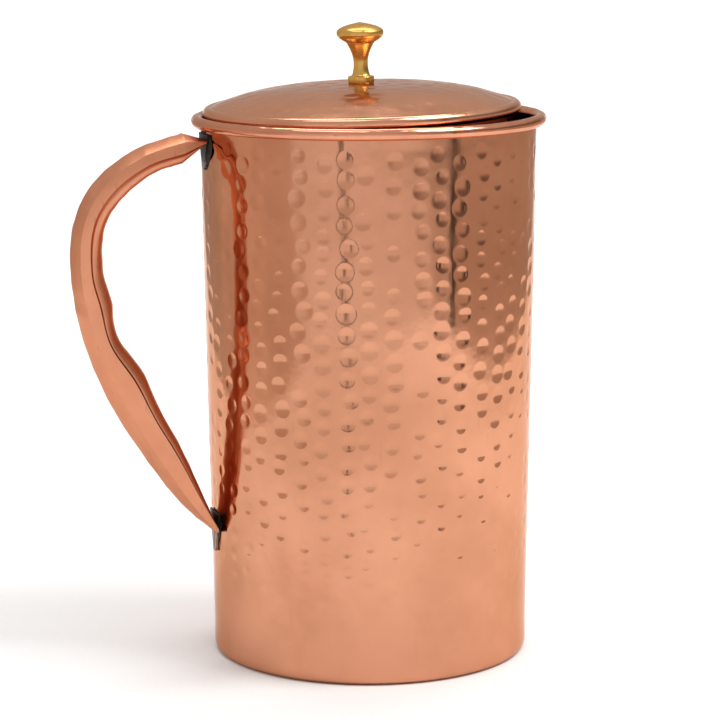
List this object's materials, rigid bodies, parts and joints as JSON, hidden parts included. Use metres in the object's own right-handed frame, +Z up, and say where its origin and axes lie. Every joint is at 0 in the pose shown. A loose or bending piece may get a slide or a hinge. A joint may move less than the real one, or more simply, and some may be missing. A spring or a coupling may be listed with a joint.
{
  "type": "lidded water jug",
  "caption": "Tall tapered hammered copper water jug with a pouring lip, a hollow side handle and a loose domed lid with a turned brass knob.",
  "frame": {"origin": "centre of the flat underside, on the surface that the jug stands on", "axes": "+Z up along the jug's axis, +X towards the pouring lip, -X towards the handle"},
  "size_m": [0.1701, 0.1184, 0.2238],
  "materials": {
    "hammered_copper": "hammered and polished copper",
    "polished_copper": "smooth polished copper",
    "lid_copper": "hammered satin copper",
    "turned_brass": "turned and polished brass",
    "spelter": "brazing filler darkened by the flame",
    "wire_steel": "plain drawn steel"
  },
  "bodies": {
    "jug": {"body_wall": "hammered_copper", "base_disc": "polished_copper", "base_braze": "spelter", "wall_seam": "spelter", "rim_bead": "polished_copper", "rim_wire": "wire_steel", "handle_outer_shell": "polished_copper", "handle_inner_shell": "polished_copper", "handle_top_tab": "polished_copper", "handle_foot_tab": "polished_copper", "handle_top_braze": "spelter", "handle_foot_braze": "spelter"},
    "lid": {"lid_top": "lid_copper", "lid_wire": "wire_steel", "lid_ring": "polished_copper", "lid_ring_braze": "spelter", "knob": "turned_brass", "knob_screw": "wire_steel", "knob_washer": "wire_steel"}
  },
  "joints": [
    {"name": "lid_lift", "type": "slide", "parent": "jug", "child": "lid", "axis": [0, 0, 1], "range_m": [0, 0.04]}
  ]
}
